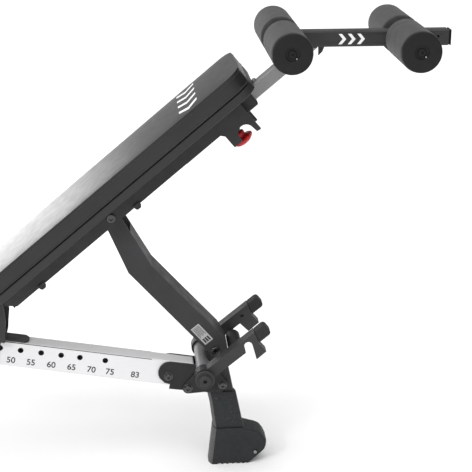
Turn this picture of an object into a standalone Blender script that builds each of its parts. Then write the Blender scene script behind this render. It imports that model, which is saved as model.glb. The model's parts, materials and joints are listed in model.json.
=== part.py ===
"""A decline sit-up bench: a sloping rail on a front leg and a rear stabiliser, a back pad on a beam
that a cranked strut and a sliding carriage hold at an angle, and a roller bar that telescopes out of
the beam. Metres, +Z up, X along the bench towards the rollers, Y across it."""

from math import atan2, cos, hypot, pi, radians, sin, sqrt

import bmesh
import bpy
from mathutils import Matrix, Vector

# Driving dimensions, in metres and degrees
GAP = 0.0003                         # between pieces that touch
PAD_ANGLE = 40.0                     # back pad to the floor, at rest
RAIL_SLOPE = 9.5                     # the rail falls towards the rollers
FORK_ANGLE = 39.0                    # support fork to the floor
LEG_LEAN = 11.0
SEAT_ANGLE = 12.0
REACH = 0.880                        # the origin to either end of the bench

BEAM_HINGE = (-0.2855, 0.5052)       # beam on carriage, (x, z)
BEAM_PIVOT = (0.0173, 0.7188)        # strut in beam
STRUT_PIVOT = (0.2822, 0.3425)       # strut on frame
HUB = (0.249, 0.2975)                # cross tube that the fork turns on
RAIL_START = (0.0, 0.3356)           # a point of the rail's top face
LEG_FOOT = (0.3425, 0.0)             # the front leg's axis at the floor
SEAT_CORNER = (-0.345, 0.553)        # top of the seat pad, next to the back pad

RAIL_HALF = 0.025
RAIL_HEIGHT = 0.070
RAIL_SPAN = (-0.835, 0.229)
RAIL_HOLE = 0.0068
HOLE_DEPTH = 0.021                   # hole centres below the rail's top face
HOLE_ORIGIN = 0.1525                 # hole position plus pivot distance, along the rail
PAD_STOPS = (0, 10, 20, 30, 40, 45, 50, 55, 60, 65, 70, 75, 83)

BEAM_HALF = 0.0485
BEAM_SHEET = 0.003
BEAM_SPAN = (0.009, 0.808)
BEAM_TOP = -0.002
BEAM_BOTTOM = -0.050
HOOK_SPAN = (0.726, 0.808)
HOOK_NOTCH = (0.773, -0.0865)
HOOK_NOTCH_RADIUS = 0.0205
LUG_RADIUS = 0.018
STOP_PLACES = (0.1171, 0.4423)       # of the small blocks that the folded strut rests between

PAD_SPAN = (0.025, 0.866)
PAD_HALF = 0.136
PAD_LAYERS = (0.0218, 0.0650)
SHELL_SPAN = (0.0215, 0.871)
SHELL_HALF = 0.134
SHELL_LAYERS = (0.0, 0.0215)
PAD_CORNER = 0.042

TUBE_HALF = 0.0175                   # extension tube, square
TUBE_AXIS = -0.028
SLEEVE_SPAN = (0.600, 0.842)
PULL_PIN_PLACE = 0.752

BAR_HALF = 0.020
BAR_HEIGHT = 1.163
BAR_SPAN = (0.430, 0.876)
ROLLER_PLACES = (0.455, 0.761)
ROLLER_RADIUS = 0.050
ROLLER_SPAN = (0.027, 0.218)
ROLLER_TUBE_RADIUS = 0.0125
CAP_SPAN = (0.2183, 0.2255)

STRUT_HALF = 0.045
STRUT_SHEET = 0.004
STRUT_NOSE = (0.2865, 0.3510)        # centre of the strut's rounded lower end
STRUT_NOSE_RADIUS = 0.027

LEG_HALF_DEPTH = 0.030
LEG_HALF_WIDTH = 0.025
FOOT_HALF = 0.035
SLEEVE_HALF = 0.031
FOOT_LEVELS = (                      # height, then the left and the right side
    (0.0, 0.2716, 0.3720),
    (0.020, 0.2740, 0.3950),
    (0.0385, 0.2760, 0.4164),
    (0.050, 0.2773, 0.4205),
    (0.060, 0.2785, 0.4218),
    (0.069, 0.2796, 0.4200),
    (0.080, 0.2808, 0.4135),
    (0.091, 0.2820, 0.4050),
    (0.098, 0.2828, 0.3850),
    (0.105, 0.2836, 0.3610),
    (0.108, 0.2839, 0.3585),
)
SLEEVE_LEVELS = (
    (0.1083, 0.2839, 0.3580),
    (0.126, 0.2818, 0.3550),
    (0.170, 0.2762, 0.3464),
    (0.2155, 0.2680, 0.3375),
)

HUB_RADIUS = 0.019
HUB_REACH = 0.1275
RAIL_BOLT = (0.166, -0.043)          # in the rail's frame
BRACKET_BOLTS = ((0.2086, 0.2312), (0.3011, 0.2378))
PLATE_SPAN = (0.0256, 0.0306)
BRACKET_SPAN = (0.0310, 0.0360)

FORK_SPAN = (0.0835, 0.1165)
FORK_SLOT = (0.1431, -0.0043)         # top of the near arm's slot, in the fork's frame
FORK_SLOT_HALF = 0.0109
FORK_SLOT_TILT = 24
DRUM_PLACE = (0.0955, -0.0188)       # in the fork's frame
DRUM_RADIUS = 0.0190
DRUM_HALF = 0.056
DRUM_AXLE_RADIUS = 0.0080

CHEEK_SPAN = (0.0495, 0.0545)
SEAT_HINGE = (0.0403, -0.0842)       # in the seat's frame
CARRIAGE_SPAN = (-0.455, -0.284)
CARRIAGE_LIFT = 0.0012               # clear of the rail's top face

STABILISER_X = (-0.864, -0.814)
STABILISER_Z = (0.012, 0.062)
STABILISER_HALF = 0.300
WHEEL_CENTRE = (-0.848, 0.036)
WHEEL_RADIUS = 0.032

SIDES = (("near", -1), ("far", 1))

ROUND = 24                           # sides of a round piece
SMOOTH_ANGLE = radians(35)
BLACK = (0.040, 0.041, 0.043)


def clear_scene():
    for item in list(bpy.data.objects):
        bpy.data.objects.remove(item, do_unlink=True)


def material(name, colour, roughness, metallic=0.0):
    found = bpy.data.materials.get(name)
    if found:
        return found
    made = bpy.data.materials.new(name)
    made.use_nodes = True
    shader = made.node_tree.nodes["Principled BSDF"]
    shader.inputs["Base Color"].default_value = (*colour, 1.0)
    shader.inputs["Roughness"].default_value = roughness
    shader.inputs["Metallic"].default_value = metallic
    return made


def powder_coat():
    return material("powder_coat", BLACK, 0.5)


def zinc():
    return material("zinc", (0.55, 0.56, 0.58), 0.35, 1.0)


def black_plastic():
    return material("black_plastic", (0.025, 0.025, 0.027), 0.45)


def rubber():
    return material("rubber", (0.020, 0.020, 0.020), 0.8)


def rail_steel():
    return material("rail_steel", (0.80, 0.81, 0.82), 0.3, 0.3)


def tube_steel():
    return material("tube_steel", (0.23, 0.23, 0.24), 0.3, 0.6)


def foam():
    return material("foam", (0.050, 0.050, 0.053), 0.9)


def vinyl():
    return material("vinyl", (0.055, 0.055, 0.058), 0.4)


def knob_red():
    return material("knob_red", (0.55, 0.015, 0.02), 0.25)


# Frames: each turns two distances, along and across a member, into a place (x, z)

def frame_of(origin, along, up):
    def place(a, b):
        return (origin[0] + a * along[0] + b * up[0], origin[1] + a * along[1] + b * up[1])
    return place


def slanted(origin, angle):
    turn = radians(angle)
    return frame_of(origin, (cos(turn), sin(turn)), (-sin(turn), cos(turn)))


beam = slanted(BEAM_HINGE, PAD_ANGLE)
rail = slanted(RAIL_START, -RAIL_SLOPE)
fork = slanted(HUB, FORK_ANGLE)
leg = slanted(LEG_FOOT, 90 + LEG_LEAN)
SEAT_TURN = radians(SEAT_ANGLE)
seat = frame_of(SEAT_CORNER, (-cos(SEAT_TURN), sin(SEAT_TURN)), (sin(SEAT_TURN), cos(SEAT_TURN)))
UP = (-sin(radians(PAD_ANGLE)), 0, cos(radians(PAD_ANGLE)))
DOWN = (sin(radians(PAD_ANGLE)), 0, -cos(radians(PAD_ANGLE)))


def along_rail(point):
    """How far along the rail and above its top face a place (x, z) lies."""
    turn = radians(RAIL_SLOPE)
    dx = point[0] - RAIL_START[0]
    dz = point[1] - RAIL_START[1]
    return dx * cos(turn) - dz * sin(turn), dx * sin(turn) + dz * cos(turn)


def pivot_distance(angle):
    """Distance along the rail from the beam's hinge to the strut's pivot, with the pad at this angle."""
    hinge = along_rail(BEAM_HINGE)
    middle = along_rail(BEAM_PIVOT)
    lower = along_rail(STRUT_PIVOT)
    crank = hypot(middle[0] - hinge[0], middle[1] - hinge[1])
    link = hypot(middle[0] - lower[0], middle[1] - lower[1])
    turn = atan2(middle[1] - hinge[1], middle[0] - hinge[0]) + radians(angle - PAD_ANGLE)
    rise = crank * sin(turn) + hinge[1] - lower[1]
    return crank * cos(turn) + sqrt(link * link - rise * rise)


POP_PIN = (HOLE_ORIGIN - pivot_distance(PAD_ANGLE), -HOLE_DEPTH)


def arc(centre, radius, start, end, steps=8):
    """Points on an arc from one angle to another, in degrees."""
    angles = [radians(start + (end - start) * i / steps) for i in range(steps + 1)]
    return [(centre[0] + radius * cos(a), centre[1] + radius * sin(a)) for a in angles]


def in_frame(place, points):
    return [place(a, b) for a, b in points]


def rectangle(place, a_span, b_span):
    (a0, a1), (b0, b1) = a_span, b_span
    return in_frame(place, [(a0, b0), (a1, b0), (a1, b1), (a0, b1)])


def level(a, b):
    """The frame of the floor itself."""
    return (a, b)


# Shapes

def add_object(name, mesh_builder, look, helper=False):
    bmesh.ops.recalc_face_normals(mesh_builder, faces=mesh_builder.faces)
    mesh = bpy.data.meshes.new(name)
    mesh_builder.to_mesh(mesh)
    mesh_builder.free()
    made = bpy.data.objects.new(name, mesh)
    bpy.context.scene.collection.objects.link(made)
    if helper:
        made.hide_render = True
        made.display_type = "WIRE"
    else:
        mesh.materials.append(look)
        mesh.shade_smooth()
        mesh.set_sharp_from_angle(angle=SMOOTH_ANGLE)
    return made


def extruded(name, rings, look, helper=False):
    """A closed solid through rings of the same number of points, one after the other."""
    bm = bmesh.new()
    layers = [[bm.verts.new(p) for p in ring] for ring in rings]
    count = len(layers[0])
    for low, high in zip(layers, layers[1:]):
        for i in range(count):
            j = (i + 1) % count
            bm.faces.new((low[i], low[j], high[j], high[i]))
    bm.faces.new(layers[0])
    bm.faces.new(layers[-1])
    return add_object(name, bm, look, helper)


def prism(name, outline, y_span, look, helper=False):
    """A side outline of places (x, z), drawn across the bench from one y to another."""
    rings = [[(x, y, z) for x, z in outline] for y in y_span]
    return extruded(name, rings, look, helper)


def slab(name, place, plan, b_span, look, helper=False):
    """A plan outline of points (along, y), given a thickness across its member."""
    rings = []
    for b in b_span:
        ring = []
        for a, y in plan:
            x, z = place(a, b)
            ring.append((x, y, z))
        rings.append(ring)
    return extruded(name, rings, look, helper)


def turned(name, origin, axis, profile, look, closed=False, sides=ROUND, helper=False):
    """A profile of (distance along the axis, radius) turned about it. A closed profile makes a ring."""
    turn = Vector((0, 0, 1)).rotation_difference(Vector(axis).normalized()).to_matrix()
    bm = bmesh.new()
    rings = []
    for distance, radius in profile:
        ring = []
        for i in range(sides):
            angle = 2 * pi * i / sides
            local = Vector((radius * cos(angle), radius * sin(angle), distance))
            ring.append(bm.verts.new(Vector(origin) + turn @ local))
        rings.append(ring)
    pairs = list(zip(rings, rings[1:]))
    if closed:
        pairs.append((rings[-1], rings[0]))
    for low, high in pairs:
        for i in range(sides):
            j = (i + 1) % sides
            bm.faces.new((low[i], low[j], high[j], high[i]))
    if not closed:
        bm.faces.new(rings[0])
        bm.faces.new(rings[-1])
    return add_object(name, bm, look, helper)


def rod(name, centre, radius, y_span, look, helper=False):
    """A round bar across the bench at a place (x, z)."""
    profile = [(0.0, radius), (y_span[1] - y_span[0], radius)]
    return turned(name, (centre[0], y_span[0], centre[1]), (0, 1, 0), profile, look, helper=helper)


def ring(name, centre, radii, y_span, look, edge=0.0):
    """A round tube across the bench, with a chamfered outer edge."""
    inner, outer = radii
    length = y_span[1] - y_span[0]
    profile = [(0.0, inner), (0.0, outer - edge)]
    if edge:
        profile += [(edge, outer), (length - edge, outer)]
    profile += [(length, outer - edge), (length, inner)]
    if not edge:
        profile = [(0.0, inner), (0.0, outer), (length, outer), (length, inner)]
    return turned(name, (centre[0], y_span[0], centre[1]), (0, 1, 0), profile, look, closed=True)


def soften(item, width, segments=1):
    bevel = item.modifiers.new("edge", "BEVEL")
    bevel.width = width
    bevel.segments = segments
    bevel.limit_method = "ANGLE"
    bevel.angle_limit = radians(40)
    return item


def combine(item, other, operation):
    step = item.modifiers.new(other.name, "BOOLEAN")
    step.operation = operation
    step.object = other
    step.solver = "EXACT"
    return item


def cut(item, *cutters):
    for cutter in cutters:
        combine(item, cutter, "DIFFERENCE")
    return item


def join(item, *others):
    for other in others:
        combine(item, other, "UNION")
    return item


def box_tube(name, place, a_span, b_span, half, wall, look, edge=0.003):
    """A rectangular tube along its member, open at both ends."""
    outer = prism(name, rectangle(place, a_span, b_span), (-half, half), look)
    soften(outer, edge)
    reach = (a_span[0] - 0.01, a_span[1] + 0.01)
    inside = rectangle(place, reach, (b_span[0] + wall, b_span[1] - wall))
    core = prism(name + "_core", inside, (wall - half, half - wall), None, helper=True)
    return cut(outer, core)


def through_bolt(name, centre, half, shank, head, look, thickness=0.006):
    """A bolt right across the bench: a head at each side and a shank between them."""
    profile = [
        (-half - thickness, head * 0.8),
        (-half - thickness * 0.8, head),
        (-half, head),
        (-half, shank),
        (half, shank),
        (half, head),
        (half + thickness * 0.8, head),
        (half + thickness, head * 0.8),
    ]
    return turned(name, (centre[0], 0, centre[1]), (0, 1, 0), profile, look, sides=24)


def bore(name, centre, radius, half=0.2):
    profile = [(-half, radius), (half, radius)]
    sides = 16 if radius < 0.010 else ROUND
    return turned(name, (centre[0], 0, centre[1]), (0, 1, 0), profile, None, sides=sides, helper=True)


def mirrored(span, side):
    """A span of y on the near side (-1) or on the far side (+1)."""
    low, high = span
    return (low, high) if side > 0 else (-high, -low)


# Frame

def hole_places():
    return [rail(HOLE_ORIGIN - pivot_distance(angle), -HOLE_DEPTH) for angle in PAD_STOPS]


def make_rail():
    item = box_tube("rail", rail, RAIL_SPAN, (-RAIL_HEIGHT, 0.0), RAIL_HALF, 0.003, rail_steel())
    for number, place in enumerate(hole_places()):
        cut(item, bore(f"rail_hole_{number}", place, RAIL_HOLE))
    cut(item, bore("rail_bolt_bore", rail(*RAIL_BOLT), 0.0056))
    cut(item, bore("rail_bracket_bore", BRACKET_BOLTS[0], 0.0058))
    return item


def side_plate_outline():
    corner = in_frame(rail, [(0.158, -0.062), (0.173, -0.064), (0.173, -0.078)])
    corner += [(0.2620, SLEEVE_LEVELS[-1][0] + GAP), (0.3005, SLEEVE_LEVELS[-1][0] + GAP)]
    right = in_frame(rail, [(0.316, -0.010)])
    head = arc(STRUT_PIVOT, LUG_RADIUS, 5, 175, 10)
    notch = [(0.2626, 0.3300), (0.2624, 0.3113), HUB]
    top = in_frame(rail, [(0.228, -GAP), (0.186, -GAP)])
    end = in_frame(rail, arc((0.1685, -0.032), 0.0315, 95, 215, 8))
    return corner + right + head + notch + top + end


def make_side_plates():
    for label, side in SIDES:
        item = prism("side_plate_" + label, side_plate_outline(), mirrored(PLATE_SPAN, side), powder_coat())
        cut(item, bore("plate_rail_bore_" + label, rail(*RAIL_BOLT), 0.0056))
        cut(item, bore("plate_hub_bore_" + label, HUB, HUB_RADIUS + GAP))
        cut(item, bore("plate_strut_bore_" + label, STRUT_PIVOT, 0.0063))
        for number, place in enumerate(BRACKET_BOLTS):
            cut(item, bore(f"plate_bracket_bore_{label}_{number}", place, 0.0056))


def make_front_leg():
    leg_span = (0.020, 0.300)
    depth = (-LEG_HALF_DEPTH, LEG_HALF_DEPTH)
    item = box_tube("front_leg", leg, leg_span, depth, LEG_HALF_WIDTH, 0.003, powder_coat())
    cut(item, bore("leg_hub_bore", HUB, HUB_RADIUS + GAP))
    for number, place in enumerate(BRACKET_BOLTS[1:]):
        cut(item, bore(f"leg_bracket_bore_{number}", place, 0.0056))


def moulded(name, levels, half, chamfer, nip, look):
    """A moulding through levels (z, left x, right x), chamfered in plan at its left and its right side."""
    rings = []
    for z, left, right in levels:
        near = [(left - chamfer, -half * 0.45, z), (left, -half, z), (right - nip, -half, z)]
        near.append((right, -half * 0.55, z))
        far = [(x, -y, z) for x, y, z in reversed(near)]
        rings.append(near + far)
    return extruded(name, rings, look)


def leg_core(name):
    reach = LEG_HALF_WIDTH + GAP
    depth = (-LEG_HALF_DEPTH - GAP, LEG_HALF_DEPTH + GAP)
    return prism(name, rectangle(leg, (0.0197, 0.4), depth), (-reach, reach), None, helper=True)


def make_foot():
    sleeve = moulded("leg_sleeve", SLEEVE_LEVELS, SLEEVE_HALF, 0.008, 0.005, black_plastic())
    cut(sleeve, leg_core("sleeve_core"))
    foot = moulded("foot_moulding", FOOT_LEVELS, FOOT_HALF, 0.009, 0.0015, black_plastic())
    cut(foot, leg_core("foot_core"))
    profile = [(0.0, 0.0035), (0.0012, 0.0046), (0.0030, 0.0046)]
    turned("foot_screw", (0.3898, -0.0383, 0.0345), (0, 1, 0), profile, zinc(), sides=16)


def make_hub():
    ring("hub_tube", HUB, (0.0120, HUB_RADIUS), (-HUB_REACH, HUB_REACH), powder_coat())
    outline = arc(BRACKET_BOLTS[0], 0.0145, 133, 275, 8)
    outline += arc(BRACKET_BOLTS[1], 0.0145, 265, 405, 8)
    outline += [(0.2717, 0.3036), HUB]
    for label, side in SIDES:
        item = prism("hub_bracket_" + label, outline, mirrored(BRACKET_SPAN, side), powder_coat())
        cut(item, bore("bracket_hub_bore_" + label, HUB, HUB_RADIUS + GAP))
        for number, place in enumerate(BRACKET_BOLTS):
            cut(item, bore(f"bracket_bore_{label}_{number}", place, 0.0056))
        profile = [
            (0.0, 0.0116),
            (0.030, 0.0116),
            (0.030, 0.0255),
            (0.0340, 0.0255),
            (0.0352, 0.0243),
            (0.0352, 0.0165),
            (0.0420, 0.0165),
            (0.0440, 0.0140),
            (0.0440, 0.0080),
            (0.0400, 0.0068),
        ]
        start = side * (HUB_REACH + GAP - 0.030)
        turned("hub_end_bolt_" + label, (HUB[0], start, HUB[1]), (0, side, 0), profile, powder_coat())


def make_frame_bolts():
    through_bolt("rail_bolt", rail(*RAIL_BOLT), PLATE_SPAN[1] + GAP, 0.0052, 0.0095, zinc())
    names = ("bracket_bolt_rear", "bracket_bolt_front")
    for name, place in zip(names, BRACKET_BOLTS):
        through_bolt(name, place, BRACKET_SPAN[1] + GAP, 0.0052, 0.0100, powder_coat())
    through_bolt("strut_pivot_bolt", STRUT_PIVOT, STRUT_HALF + GAP, 0.0060, 0.0120, zinc(), 0.005)


def make_rear_stand():
    top = in_frame(rail, [(-0.832, -RAIL_HEIGHT - GAP), (-0.772, -RAIL_HEIGHT - GAP)])
    floor = [(-0.812, STABILISER_Z[1] + GAP), (-0.866, STABILISER_Z[1] + GAP)]
    soften(prism("rear_leg", top + floor, (-0.025, 0.025), powder_coat()), 0.004)
    outline = rectangle(level, STABILISER_X, STABILISER_Z)
    beam_tube = prism("rear_stabiliser", outline, (-STABILISER_HALF, STABILISER_HALF), powder_coat())
    soften(beam_tube, 0.004)
    wall = 0.003
    x_inside = (STABILISER_X[0] + wall, STABILISER_X[1] - wall)
    z_inside = (STABILISER_Z[0] + wall, STABILISER_Z[1] - wall)
    hollow = rectangle(level, x_inside, z_inside)
    cut(beam_tube, prism("stabiliser_core", hollow, (-0.31, 0.31), None, helper=True))
    for label, side in SIDES:
        x_boot = (STABILISER_X[0] - 0.004, STABILISER_X[1] + 0.004)
        boot = rectangle(level, x_boot, (0.0, 0.066))
        item = prism("stabiliser_boot_" + label, boot, mirrored((0.278, 0.312), side), rubber())
        soften(item, 0.004)
        x_socket = (STABILISER_X[0] - GAP, STABILISER_X[1] + GAP)
        socket = rectangle(level, x_socket, (STABILISER_Z[0] - GAP, STABILISER_Z[1] + GAP))
        core_span = mirrored((0.270, STABILISER_HALF + GAP), side)
        cut(item, prism("boot_core_" + label, socket, core_span, None, helper=True))
        cut(item, bore("boot_axle_bore_" + label, WHEEL_CENTRE, 0.0063, 0.4))
        make_wheel(label, side)
    rod("wheel_axle", WHEEL_CENTRE, 0.0060, (-0.3370, 0.3370), zinc())


def make_wheel(label, side):
    span = mirrored((0.3135, 0.3355), side)
    ring("transport_wheel_" + label, WHEEL_CENTRE, (0.0063, WHEEL_RADIUS), span, rubber(), 0.003)


# Support fork

def fork_outline():
    """The arm's side view in the fork's frame: a ring round the hub, a bar, and a tongue below it."""
    low, high = -0.0155, 0.0150
    ring_side = arc((0, 0), 0.0250, 37, 323, 14)
    under = [(0.1274, low), (0.1310, -0.0485), (0.1690, -0.0475)]
    end = [(0.1680, low), (0.1700, low), (0.1780, high)]
    return in_frame(fork, ring_side + under + end)


def make_fork():
    for label, side in SIDES:
        span = mirrored(FORK_SPAN, side)
        item = prism("fork_arm_" + label, fork_outline(), span, powder_coat())
        cut(item, bore("fork_hub_bore_" + label, HUB, HUB_RADIUS + GAP))
        if side < 0:
            half = FORK_SLOT_HALF
            lean = slanted(fork(*FORK_SLOT), FORK_ANGLE - FORK_SLOT_TILT)
            slot = in_frame(lean, arc((0, 0), half, 0, 180, 8) + [(-half, -0.060), (half, -0.060)])
            cut(item, prism("fork_slot", slot, mirrored((0.07, 0.13), side), None, helper=True))
        else:
            hole = fork(0.1460, -0.0010)
            cut(item, rod("fork_hole", hole, 0.0050, mirrored((0.07, 0.13), side), None, helper=True))
        tip = [(0.1703, -0.0165)] + arc((0.2025, -0.0075), 0.0090, 270, 360, 4)
        tip += arc((0.2025, 0.0060), 0.0090, 0, 90, 4) + [(0.1783, 0.0150)]
        bumper = prism("fork_bumper_" + label, in_frame(fork, tip), span, rubber())
        soften(bumper, 0.002)
    reach = FORK_SPAN[0] - GAP
    profile = [
        (-reach, DRUM_AXLE_RADIUS),
        (-DRUM_HALF, DRUM_AXLE_RADIUS),
        (-DRUM_HALF, DRUM_RADIUS),
        (DRUM_HALF, DRUM_RADIUS),
        (DRUM_HALF, DRUM_AXLE_RADIUS),
        (reach, DRUM_AXLE_RADIUS),
    ]
    x, z = fork(*DRUM_PLACE)
    turned("fork_cross_roller", (x, 0, z), (0, 1, 0), profile, black_plastic())


# Strut

def strut_outline():
    right = [(0.119, 0.585), (0.185, 0.512), (0.2915, 0.3950)]
    nose = arc(STRUT_NOSE, STRUT_NOSE_RADIUS, 40, -130, 12)
    left = [(0.262, 0.3410), (0.228, 0.379), (0.058, 0.568), (0.009, 0.684)]
    head = arc(BEAM_PIVOT, 0.0220, 190, 30, 10)
    return right + nose + left + head


def strut_hollow():
    """What is open between the strut's cheeks: all but a web along its outer side."""
    nose = arc(STRUT_NOSE, STRUT_NOSE_RADIUS - STRUT_SHEET, -10, 42, 6)
    web = [(0.2885, 0.3925), (0.1820, 0.5093), (0.1155, 0.5825), (0.0640, 0.6780)]
    around = [(0.090, 0.692), (0.090, 0.780), (-0.060, 0.780), (-0.060, 0.550), (0.150, 0.300)]
    below = [(0.270, 0.270), (0.350, 0.290), (0.350, 0.3450)]
    return nose + web + around + below


def make_strut():
    span = (-STRUT_HALF, STRUT_HALF)
    item = prism("strut", strut_outline(), span, powder_coat())
    reach = STRUT_HALF - STRUT_SHEET
    cut(item, prism("strut_core", strut_hollow(), (-reach, reach), None, helper=True))
    cut(item, bore("strut_lower_bore", STRUT_PIVOT, 0.0063))
    cut(item, bore("strut_upper_bore", BEAM_PIVOT, 0.0063))
    through_bolt("beam_pivot_bolt", BEAM_PIVOT, BEAM_HALF + GAP, 0.0060, 0.0125, zinc(), 0.004)


# Beam and back pad

def beam_side_outline():
    """A side of the beam in its own frame: hinge lug, straight sheet, and a hook at the upper end."""
    hook_left, hook_right = HOOK_SPAN
    notch_x = HOOK_NOTCH[0]
    lug = arc((0, 0), LUG_RADIUS, 92, 262, 10)
    lower = [(0.030, BEAM_BOTTOM), (hook_left - 0.008, BEAM_BOTTOM), (hook_left, BEAM_BOTTOM - 0.010)]
    heel = [(hook_left, -0.0972), (notch_x - HOOK_NOTCH_RADIUS, -0.0972)]
    notch = arc(HOOK_NOTCH, HOOK_NOTCH_RADIUS, 180, 0, 10)
    finger = [(notch_x + HOOK_NOTCH_RADIUS + 0.002, -0.1020), (hook_right - 0.002, -0.1040)]
    upper = [(hook_right, -0.1020), (BEAM_SPAN[1], BEAM_TOP), (0.020, BEAM_TOP)]
    return in_frame(beam, lug + lower + heel + notch + finger + upper)


def make_beam():
    outline = beam_side_outline()
    item = prism("beam_channel", outline, (-BEAM_HALF, BEAM_HALF), powder_coat())
    reach = BEAM_HALF - BEAM_SHEET
    web = BEAM_TOP - BEAM_SHEET
    inside = [(-0.05, -0.15), (0.90, -0.15), (0.90, web), (0.018, web), (0.018, 0.05), (-0.05, 0.05)]
    cut(item, prism("beam_core", in_frame(beam, inside), (-reach, reach), None, helper=True))
    cut(item, bore("beam_pivot_bore", BEAM_PIVOT, 0.0063))
    cut(item, bore("beam_hinge_bore", BEAM_HINGE, 0.0063))
    inner = reach - GAP
    plate = rectangle(beam, (0.0205, 0.0235), (BEAM_BOTTOM, BEAM_TOP - BEAM_SHEET - GAP))
    prism("beam_end_plate", plate, (-inner, inner), powder_coat())
    through_bolt("carriage_pivot_bolt", BEAM_HINGE, CHEEK_SPAN[1] + GAP, 0.0060, 0.0120, zinc(), 0.005)
    for number, place in enumerate(STOP_PLACES):
        for label, side in SIDES:
            join(item, make_beam_stop(f"beam_stop_{number}_{label}", place, side))


def make_beam_stop(name, place, side):
    """A small rounded block on the lower edge of one side of the beam, outside the folded strut."""
    outline = [(place - 0.010, BEAM_BOTTOM + 0.006), (place - 0.009, BEAM_BOTTOM - 0.004)]
    outline += [(place - 0.005, BEAM_BOTTOM - 0.0085), (place + 0.005, BEAM_BOTTOM - 0.0085)]
    outline += [(place + 0.009, BEAM_BOTTOM - 0.004), (place + 0.010, BEAM_BOTTOM + 0.006)]
    span = mirrored((BEAM_HALF - BEAM_SHEET + 0.0004, BEAM_HALF + 0.0060), side)
    return prism(name, in_frame(beam, outline), span, None, helper=True)


def make_extension_sleeve():
    outline = rectangle(beam, SLEEVE_SPAN, (-0.0570, -0.0053))
    item = soften(prism("extension_sleeve", outline, (-0.0255, 0.0255), powder_coat()), 0.003)
    room = TUBE_HALF + 0.0005
    reach = (SLEEVE_SPAN[0] - 0.01, SLEEVE_SPAN[1] + 0.01)
    hollow = rectangle(beam, reach, (TUBE_AXIS - room, TUBE_AXIS + room))
    cut(item, prism("sleeve_hollow", hollow, (-room, room), None, helper=True))
    profile = [(0.040, 0.0048), (0.070, 0.0048)]
    cut(item, turned("pull_pin_bore", pin_place(0.0), DOWN, profile, None, helper=True))


def pin_place(depth):
    x, z = beam(PULL_PIN_PLACE, depth)
    return (x, 0, z)


def make_pull_pin():
    barrel = [(0.0573, 0.0050), (0.0573, 0.0120), (0.0780, 0.0120), (0.0800, 0.0100), (0.0800, 0.0050)]
    turned("pull_pin_barrel", pin_place(0.0), DOWN, barrel, zinc(), closed=True)
    knob = [
        (0.0470, 0.0040),
        (0.0490, 0.0045),
        (0.0830, 0.0045),
        (0.0830, 0.0110),
        (0.0960, 0.0120),
        (0.0990, 0.0240),
        (0.1030, 0.0275),
        (0.1080, 0.0275),
        (0.1140, 0.0240),
        (0.1180, 0.0160),
        (0.1195, 0.0060),
    ]
    turned("red_pull_knob", pin_place(0.0), DOWN, knob, knob_red())


def rounded_plan(span, half, corner, lower_corner):
    a0, a1 = span
    upper = arc((a1 - corner, half - corner), corner, 90, 0, 6)
    upper += arc((a1 - corner, corner - half), corner, 0, -90, 6)
    lower = arc((a0 + lower_corner, lower_corner - half), lower_corner, 270, 180, 4)
    lower += arc((a0 + lower_corner, half - lower_corner), lower_corner, 180, 90, 4)
    return upper + lower


def make_back_pad():
    plan = rounded_plan(SHELL_SPAN, SHELL_HALF, PAD_CORNER, 0.020)
    layers = (SHELL_LAYERS[0] - 0.0015, SHELL_LAYERS[1])
    soften(slab("pad_base_shell", beam, plan, layers, black_plastic()), 0.004)
    plan = rounded_plan(PAD_SPAN, PAD_HALF, PAD_CORNER, 0.020)
    soften(slab("back_pad", beam, plan, PAD_LAYERS, vinyl()), 0.010)


# Roller attachment

def make_roller_frame():
    low, high = TUBE_AXIS - TUBE_HALF, TUBE_AXIS + TUBE_HALF
    start = 0.620
    under = BAR_HEIGHT - BAR_HALF - GAP
    slope = radians(PAD_ANGLE)
    end_low = (under - beam(0, low)[1]) / sin(slope)
    end_high = (under - beam(0, high)[1]) / sin(slope)
    outline = in_frame(beam, [(start, low), (end_low, low), (end_high, high), (start, high)])
    tube = prism("extension_tube", outline, (-TUBE_HALF, TUBE_HALF), tube_steel())
    soften(tube, 0.003)
    stop_profile = [(-0.0020, 0.0060), (0.0060, 0.0060), (0.0080, 0.0045)]
    join(tube, turned("insertion_stop", stop_place(), UP, stop_profile, None, sides=16, helper=True))
    bar = rectangle(level, BAR_SPAN, (BAR_HEIGHT - BAR_HALF, BAR_HEIGHT + BAR_HALF))
    item = prism("roller_bar", bar, (-BAR_HALF, BAR_HALF), powder_coat())
    soften(item, 0.003)
    corner_x = beam(end_low, low)[0]
    gusset = [(corner_x + 0.002, under - 0.024), (corner_x + 0.012, under - 0.014)]
    gusset += [(corner_x + 0.020, under + 0.006), (corner_x + 0.002, under + 0.006)]
    join(item, prism("gusset", gusset, (-0.003, 0.003), None, helper=True))
    hole = rod("bar_end_hole", (0.845, BAR_HEIGHT + 0.002), 0.0045, (-0.1, 0.1), None, helper=True)
    cut(item, hole)
    cap_span = (BAR_SPAN[1] + GAP, REACH)
    end_cap = rectangle(level, cap_span, (BAR_HEIGHT - BAR_HALF, BAR_HEIGHT + BAR_HALF))
    soften(prism("bar_end_cap", end_cap, (-BAR_HALF, BAR_HALF), black_plastic()), 0.0015)
    return item


def stop_place():
    x, z = beam(0.869, TUBE_AXIS + TUBE_HALF)
    return (x, 0, z)


def make_rollers(bar):
    """Returns the pieces of each roller, which turn together."""
    bodies = {}
    for number, place in enumerate(ROLLER_PLACES, 1):
        centre = (place, BAR_HEIGHT)
        cut(bar, bore(f"roller_tube_bore_{number}", centre, ROLLER_TUBE_RADIUS + GAP, 0.05))
        rod(f"roller_tube_{number}", centre, ROLLER_TUBE_RADIUS, (-0.217, 0.217), zinc())
        for label, side in SIDES:
            name = f"roller_{number}_{label}"
            radii = (ROLLER_TUBE_RADIUS + GAP, ROLLER_RADIUS)
            sleeve = ring("foam_" + name, centre, radii, mirrored(ROLLER_SPAN, side), foam(), 0.004)
            cap = make_roller_cap(name, centre, side)
            bodies[name] = (centre, [sleeve, cap])
    return bodies


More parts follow.
